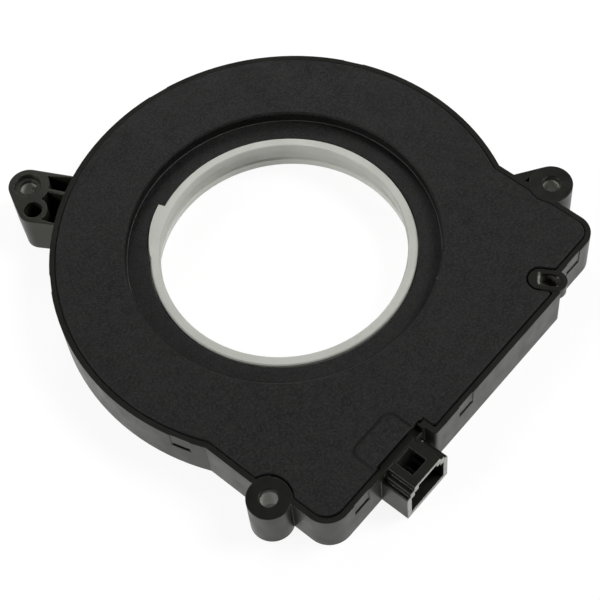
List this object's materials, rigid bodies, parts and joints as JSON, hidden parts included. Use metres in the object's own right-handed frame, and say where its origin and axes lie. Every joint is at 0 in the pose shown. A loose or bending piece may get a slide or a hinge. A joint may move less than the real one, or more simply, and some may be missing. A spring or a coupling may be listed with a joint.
{
  "type": "steering angle sensor",
  "caption": "Flat ring-shaped steering angle sensor: black snap-lidded housing with screw ears, a side socket and a turning white hub that drives measuring gears inside.",
  "frame": {"origin": "on the hub axis, at the back end of the hub, flush with the housing's flat back face", "axes": "+Z along the hub axis out of the cover; +X along the straight connector side; the connector socket faces -Y"},
  "size_m": [0.1024, 0.1154, 0.0122],
  "materials": {
    "housing_plastic": "black moulded PBT, smooth, semi-gloss",
    "cover_plastic": "black moulded PBT, fine spark-eroded texture, matt",
    "natural_nylon": "natural white nylon, satin",
    "board_laminate": "green solder mask on glass-epoxy laminate",
    "chip_resin": "black moulded epoxy",
    "capacitor_ceramic": "fired tan ceramic",
    "resistor_film": "black film coat",
    "tinned_metal": "matt tin plate",
    "magnet_ferrite": "ground ferrite",
    "screw_steel": "zinc plate"
  },
  "bodies": {
    "housing_body": {"housing": "housing_plastic", "cover": "cover_plastic", "circuit_board": "board_laminate", "microcontroller": "chip_resin", "bus_transceiver": "chip_resin", "voltage_regulator": "chip_resin", "clock_crystal": "tinned_metal", "angle_sensor_chip_a": "chip_resin", "angle_sensor_chip_b": "chip_resin", "capacitor_1": "capacitor_ceramic", "resistor_1": "resistor_film", "capacitor_2": "capacitor_ceramic", "resistor_2": "resistor_film", "capacitor_3": "capacitor_ceramic", "resistor_3": "resistor_film", "capacitor_4": "capacitor_ceramic", "resistor_4": "resistor_film", "capacitor_5": "capacitor_ceramic", "resistor_5": "resistor_film", "capacitor_6": "capacitor_ceramic", "resistor_6": "resistor_film", "connector_terminal_1": "tinned_metal", "connector_terminal_2": "tinned_metal", "connector_terminal_3": "tinned_metal", "connector_terminal_4": "tinned_metal", "board_screw_1": "screw_steel", "board_screw_2": "screw_steel", "board_screw_3": "screw_steel"},
    "hub_body": {"rotor_hub": "natural_nylon"},
    "gear_a_body": {"measuring_gear_a": "natural_nylon", "gear_magnet_a": "magnet_ferrite"},
    "gear_b_body": {"measuring_gear_b": "natural_nylon", "gear_magnet_b": "magnet_ferrite"}
  },
  "joints": [
    {"name": "hub_turn", "type": "hinge", "parent": "housing_body", "child": "hub_body", "pos_m": [0, 0, 0.005], "axis": [0, 0, 1], "continuous": true},
    {"name": "gear_a_turn", "type": "hinge", "parent": "housing_body", "child": "gear_a_body", "pos_m": [-0.02388, -0.0341, 0.003], "axis": [0, 0, 1], "continuous": true},
    {"name": "gear_b_turn", "type": "hinge", "parent": "housing_body", "child": "gear_b_body", "pos_m": [0.01726, -0.037, 0.003], "axis": [0, 0, 1], "continuous": true}
  ],
  "couplings": [
    {"joint": "gear_a_turn", "follows": "hub_turn", "ratio": -3.7273},
    {"joint": "gear_b_turn", "follows": "hub_turn", "ratio": -4.1}
  ]
}
